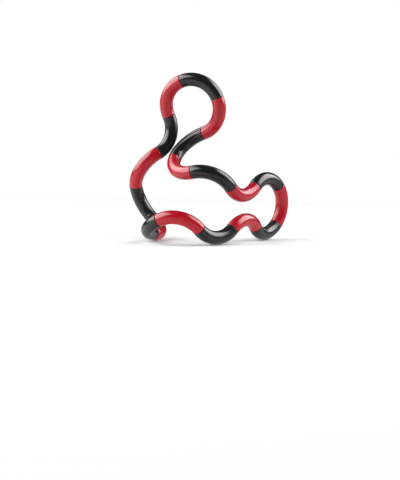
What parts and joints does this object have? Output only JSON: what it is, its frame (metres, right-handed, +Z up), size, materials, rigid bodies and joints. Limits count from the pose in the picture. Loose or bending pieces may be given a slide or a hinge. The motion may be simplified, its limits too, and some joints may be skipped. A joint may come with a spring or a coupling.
{
  "type": "twisty snake puzzle",
  "caption": "Closed ring of quarter-circle tube links in alternating black and red, joined by swivels and twisted into a standing figure of loops.",
  "frame": {"origin": "on the table, under the middle of the figure's bounding box", "axes": "+X to the figure's right as seen from its front, +Y away from the viewer, +Z up"},
  "size_m": [0.1174, 0.0778, 0.1187],
  "materials": {
    "black_plastic": "gloss, moulded",
    "red_plastic": "gloss, moulded",
    "plug_plastic": "satin, moulded"
  },
  "bodies": {
    "link_01": {"link_01_left_shell": "black_plastic", "link_01_right_shell": "black_plastic", "link_01_swivel_plug": "plug_plastic"},
    "link_02": {"link_02_left_shell": "red_plastic", "link_02_right_shell": "red_plastic", "link_02_swivel_plug": "plug_plastic"},
    "link_03": {"link_03_left_shell": "black_plastic", "link_03_right_shell": "black_plastic", "link_03_swivel_plug": "plug_plastic"},
    "link_04": {"link_04_left_shell": "red_plastic", "link_04_right_shell": "red_plastic", "link_04_swivel_plug": "plug_plastic"},
    "link_05": {"link_05_left_shell": "black_plastic", "link_05_right_shell": "black_plastic", "link_05_swivel_plug": "plug_plastic"},
    "link_06": {"link_06_left_shell": "red_plastic", "link_06_right_shell": "red_plastic", "link_06_swivel_plug": "plug_plastic"},
    "link_07": {"link_07_left_shell": "black_plastic", "link_07_right_shell": "black_plastic", "link_07_swivel_plug": "plug_plastic"},
    "link_08": {"link_08_left_shell": "red_plastic", "link_08_right_shell": "red_plastic", "link_08_swivel_plug": "plug_plastic"},
    "link_09": {"link_09_left_shell": "black_plastic", "link_09_right_shell": "black_plastic", "link_09_swivel_plug": "plug_plastic"},
    "link_10": {"link_10_left_shell": "red_plastic", "link_10_right_shell": "red_plastic", "link_10_swivel_plug": "plug_plastic"},
    "link_11": {"link_11_left_shell": "black_plastic", "link_11_right_shell": "black_plastic", "link_11_swivel_plug": "plug_plastic"},
    "link_12": {"link_12_left_shell": "red_plastic", "link_12_right_shell": "red_plastic", "link_12_swivel_plug": "plug_plastic"},
    "link_13": {"link_13_left_shell": "black_plastic", "link_13_right_shell": "black_plastic", "link_13_swivel_plug": "plug_plastic"},
    "link_14": {"link_14_left_shell": "red_plastic", "link_14_right_shell": "red_plastic", "link_14_swivel_plug": "plug_plastic"},
    "link_15": {"link_15_left_shell": "black_plastic", "link_15_right_shell": "black_plastic", "link_15_swivel_plug": "plug_plastic"},
    "link_16": {"link_16_left_shell": "red_plastic", "link_16_right_shell": "red_plastic", "link_16_swivel_plug": "plug_plastic"},
    "link_17": {"link_17_left_shell": "black_plastic", "link_17_right_shell": "black_plastic", "link_17_swivel_plug": "plug_plastic"},
    "link_18": {"link_18_left_shell": "red_plastic", "link_18_right_shell": "red_plastic", "link_18_swivel_plug": "plug_plastic"}
  },
  "joints": [
    {"name": "swivel_01", "type": "hinge", "parent": "link_02", "child": "link_01", "pos_m": [0.00345, 0.00115, 0.10097], "axis": [0.3827, 0.0875, -0.9197], "range_deg": [0, 180]},
    {"name": "swivel_02", "type": "hinge", "parent": "link_03", "child": "link_02", "pos_m": [-0.0052, 0.01291, 0.07675], "axis": [-0.8151, 0.5007, -0.2915], "range_deg": [0, 180]},
    {"name": "swivel_03", "type": "hinge", "parent": "link_04", "child": "link_03", "pos_m": [-0.02575, 0.00839, 0.05786], "axis": [-0.2128, -0.7267, -0.6532], "range_deg": [-165, 0]},
    {"name": "swivel_04", "type": "hinge", "parent": "link_05", "child": "link_04", "pos_m": [-0.0127, -0.01515, 0.04918], "axis": [0.8654, -0.4506, 0.2194], "range_deg": [0, 150]},
    {"name": "swivel_05", "type": "hinge", "parent": "link_05", "child": "link_06", "pos_m": [0.01376, -0.0135, 0.03934], "axis": [0.4579, 0.533, -0.7115], "range_deg": [-180, 0]},
    {"name": "swivel_06", "type": "hinge", "parent": "link_06", "child": "link_07", "pos_m": [0.0321, 0.00803, 0.03916], "axis": [0.4589, 0.5438, 0.7026], "range_deg": [-105, 0]},
    {"name": "swivel_07", "type": "hinge", "parent": "link_07", "child": "link_08", "pos_m": [0.05046, 0.02954, 0.03898], "axis": [0.4594, 0.5316, -0.7115], "range_deg": [-180, 0]},
    {"name": "swivel_08", "type": "hinge", "parent": "link_08", "child": "link_09", "pos_m": [0.04948, 0.03019, 0.01072], "axis": [-0.5088, -0.4991, -0.7014], "range_deg": [-180, 0]},
    {"name": "swivel_09", "type": "hinge", "parent": "link_09", "child": "link_10", "pos_m": [0.03303, 0.00718, 0.01051], "axis": [-0.3136, -0.6513, 0.6909], "range_deg": [0, 150]},
    {"name": "swivel_10", "type": "hinge", "parent": "link_10", "child": "link_11", "pos_m": [0.01581, -0.01526, 0.01049], "axis": [-0.5469, -0.4709, -0.6922], "range_deg": [0, 180]},
    {"name": "swivel_11", "type": "hinge", "parent": "link_11", "child": "link_12", "pos_m": [-0.00719, -0.03172, 0.01096], "axis": [-0.603, -0.3519, 0.7159], "range_deg": [0, 180]},
    {"name": "swivel_12", "type": "hinge", "parent": "link_12", "child": "link_13", "pos_m": [-0.03484, -0.02977, 0.01656], "axis": [-0.7798, 0.4494, -0.436], "range_deg": [0, 180]},
    {"name": "swivel_13", "type": "hinge", "parent": "link_13", "child": "link_14", "pos_m": [-0.03944, -0.00428, 0.00518], "axis": [0.5497, 0.8247, -0.1332], "range_deg": [-180, 180]},
    {"name": "swivel_15", "type": "hinge", "parent": "link_16", "child": "link_15", "pos_m": [-0.05388, 0.01839, 0.03877], "axis": [0.0122, -0.7289, 0.6845], "range_deg": [-180, 180]},
    {"name": "swivel_16", "type": "hinge", "parent": "link_17", "child": "link_16", "pos_m": [-0.03811, 0.01258, 0.06152], "axis": [0.7764, 0.4382, 0.4529], "range_deg": [0, 180]},
    {"name": "swivel_17", "type": "hinge", "parent": "link_18", "child": "link_17", "pos_m": [-0.03085, 0.01758, 0.08839], "axis": [-0.4134, -0.1882, 0.8909], "range_deg": [-180, 0]},
    {"name": "swivel_18", "type": "hinge", "parent": "link_01", "child": "link_18", "pos_m": [-0.02166, 0.00661, 0.11279], "axis": [0.8729, -0.3604, 0.3289], "range_deg": [0, 180]}
  ]
}
